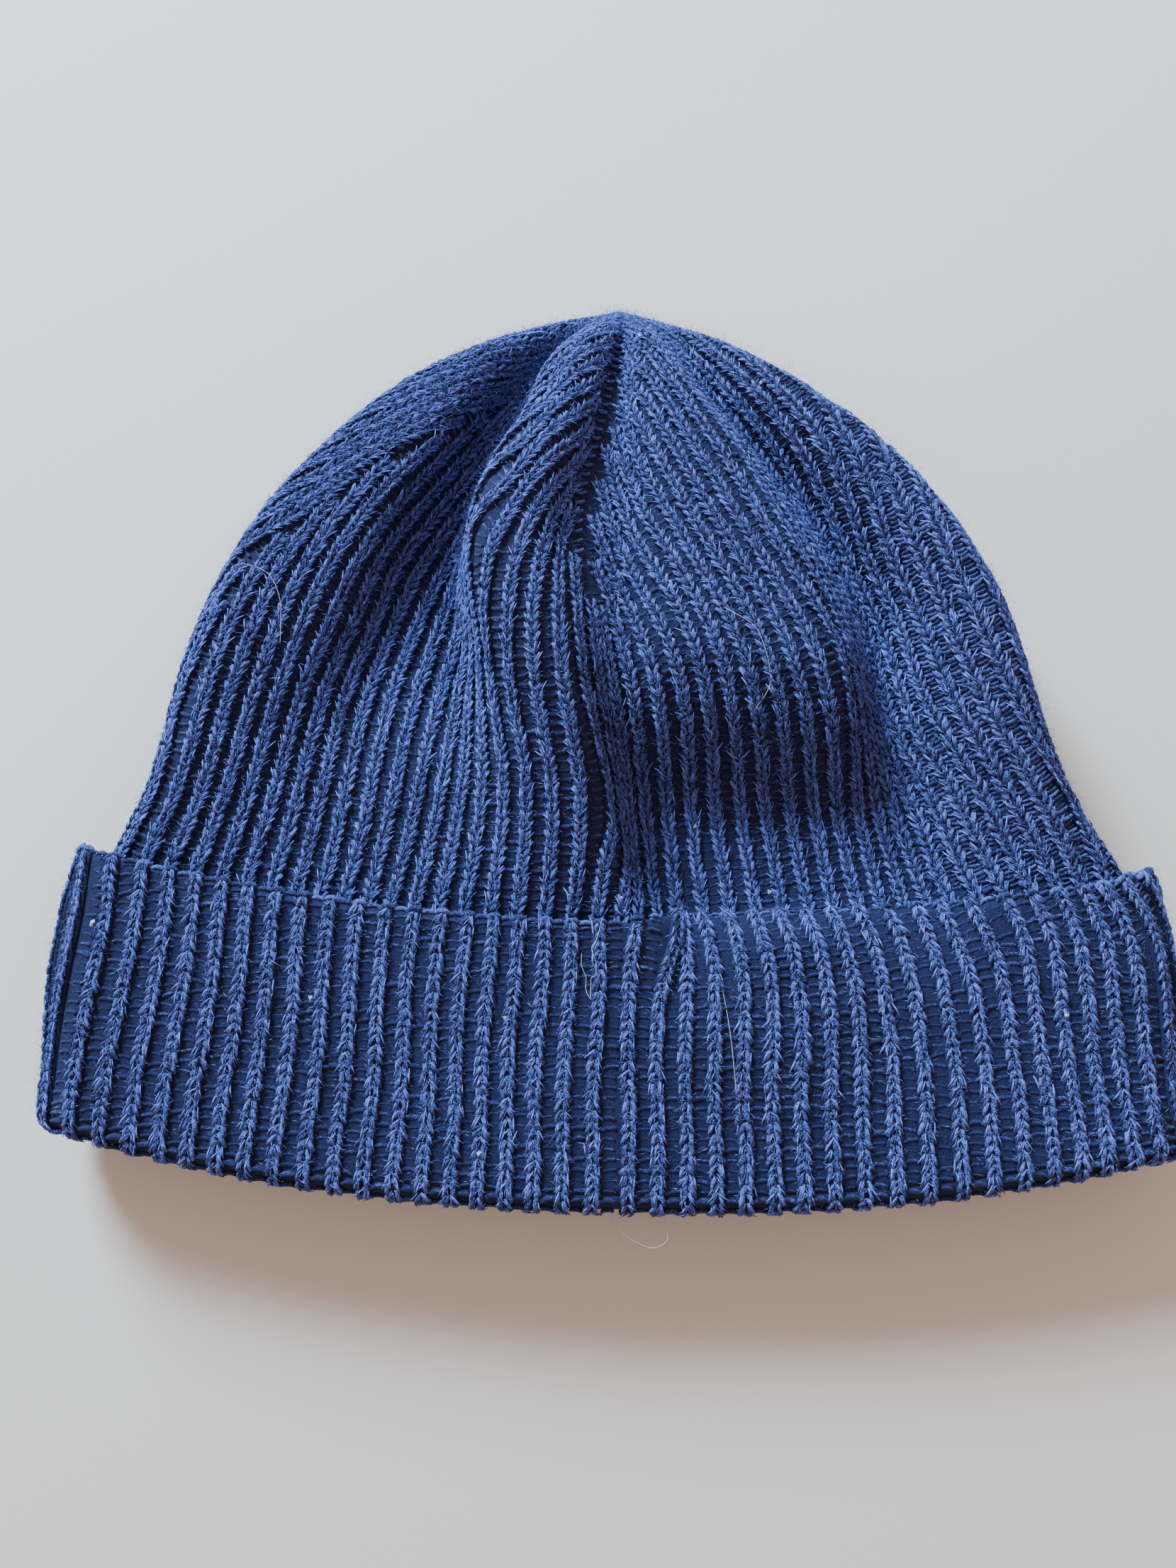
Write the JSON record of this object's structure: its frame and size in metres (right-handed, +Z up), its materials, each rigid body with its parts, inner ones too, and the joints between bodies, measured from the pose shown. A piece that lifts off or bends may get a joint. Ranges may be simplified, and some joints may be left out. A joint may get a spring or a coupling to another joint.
{
  "type": "knit beanie",
  "caption": "Ribbed knit beanie with a turned-up cuff, lying collapsed on its back, with a dart-shaped crown and a cuff that turns down about its fold.",
  "frame": {"origin": "middle of the hat's footprint, on the surface it lies on", "axes": "+Z up, +Y from the cuff's fold to the crown, +X across the hat to the right seen from above with the cuff nearest"},
  "size_m": [0.238, 0.211, 0.0368],
  "materials": {
    "rib_knit": "navy wool-blend rib knit, brushed, with a soft halo",
    "seam_yarn": "navy linking yarn, matt"
  },
  "bodies": {
    "hat_body": {"body_knit": "rib_knit", "dart_seam_front": "seam_yarn", "dart_seam_left": "seam_yarn", "dart_seam_right": "seam_yarn", "dart_seam_back": "seam_yarn", "back_seam": "seam_yarn", "crown_tie": "seam_yarn"},
    "turnup_front": {"cuff_front": "rib_knit"},
    "turnup_back": {"cuff_back": "rib_knit"},
    "turnup_left": {"cuff_left": "rib_knit"},
    "turnup_right": {"cuff_right": "rib_knit"}
  },
  "joints": [
    {"name": "cuff_turn", "type": "hinge", "parent": "hat_body", "child": "turnup_front", "pos_m": [0, -0.1013, 0.0196], "axis": [1, 0, 0], "range_deg": [0, 177]},
    {"name": "cuff_turn_back", "type": "hinge", "parent": "hat_body", "child": "turnup_back", "pos_m": [0, -0.1013, 0.0042], "axis": [1, 0, 0], "range_deg": [-177, 0]},
    {"name": "cuff_turn_left", "type": "hinge", "parent": "hat_body", "child": "turnup_left", "pos_m": [-0.1148, -0.0965, 0.0119], "axis": [0, 0, 1], "range_deg": [0, 177]},
    {"name": "cuff_turn_right", "type": "hinge", "parent": "hat_body", "child": "turnup_right", "pos_m": [0.1148, -0.0965, 0.0119], "axis": [0, 0, 1], "range_deg": [-177, 0]}
  ],
  "couplings": [
    {"joint": "cuff_turn_back", "follows": "cuff_turn", "ratio": -1},
    {"joint": "cuff_turn_left", "follows": "cuff_turn", "ratio": 1},
    {"joint": "cuff_turn_right", "follows": "cuff_turn", "ratio": -1}
  ]
}
